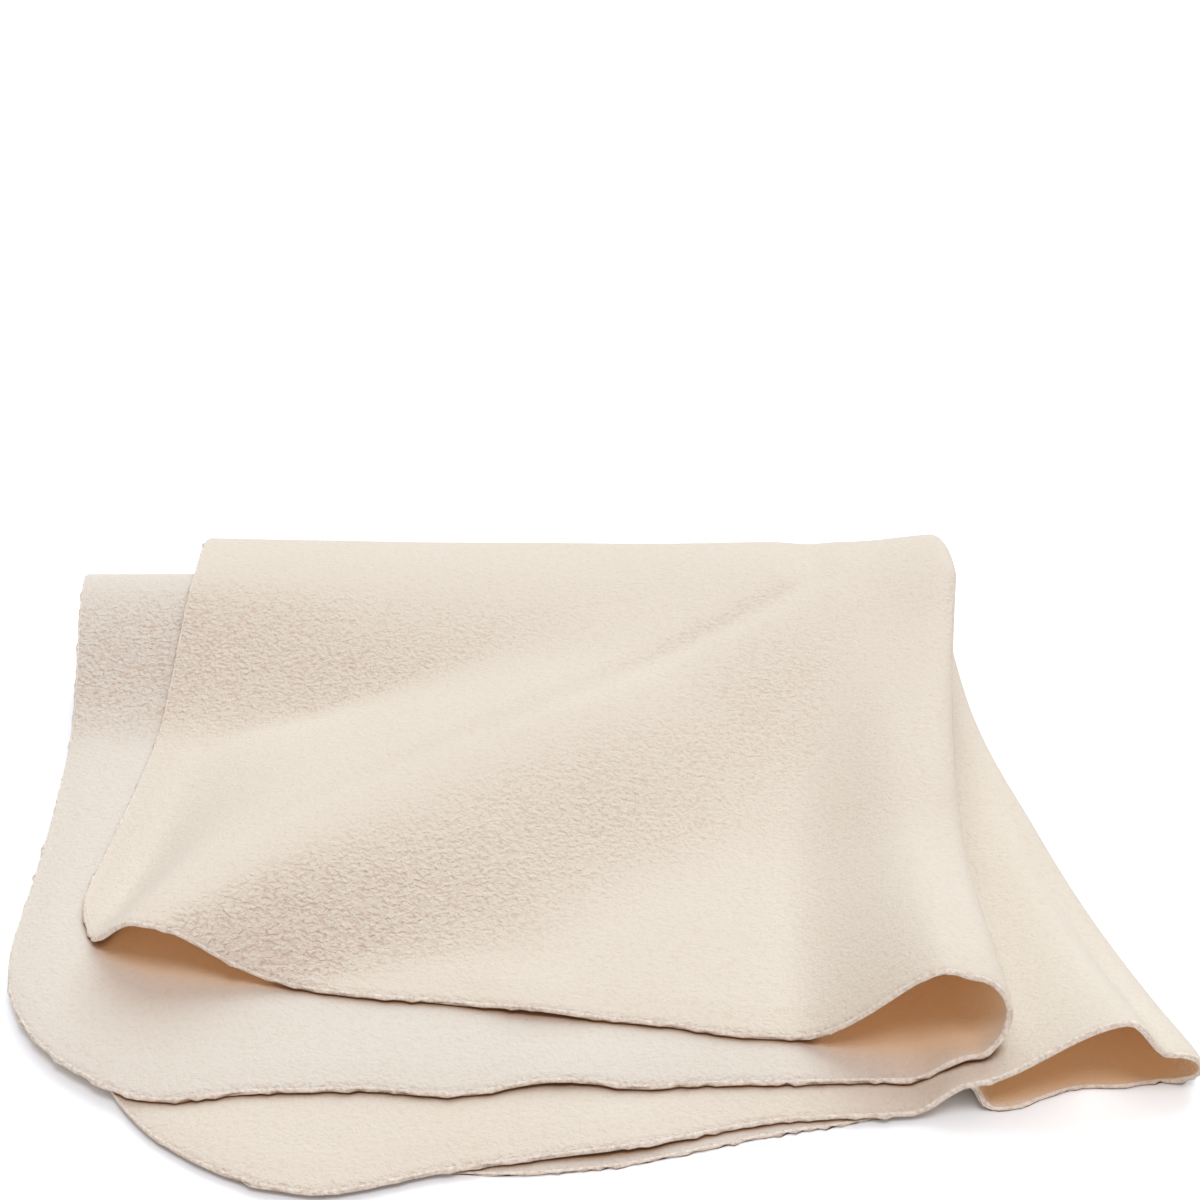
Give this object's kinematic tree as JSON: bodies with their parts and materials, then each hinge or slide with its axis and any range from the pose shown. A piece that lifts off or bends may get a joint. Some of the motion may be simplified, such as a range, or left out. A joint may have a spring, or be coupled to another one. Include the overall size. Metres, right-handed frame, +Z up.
{
  "type": "chamois leather",
  "caption": "Folded sheet of soft, oil-tanned suede with round corners and raw cut edges, for drying and polishing.",
  "frame": {"origin": "middle of the folded skin's footprint, on the surface it lies on", "axes": "+X to the folded skin's right, where its two rolls are; +Y to the back, where its loop is; +Z up"},
  "size_m": [0.2018, 0.1662, 0.0235],
  "materials": {
    "suede": "matt, finely napped suede in pale cream, with raw cut edges"
  },
  "bodies": {
    "root": {"chamois_skin": "suede"}
  },
  "joints": []
}
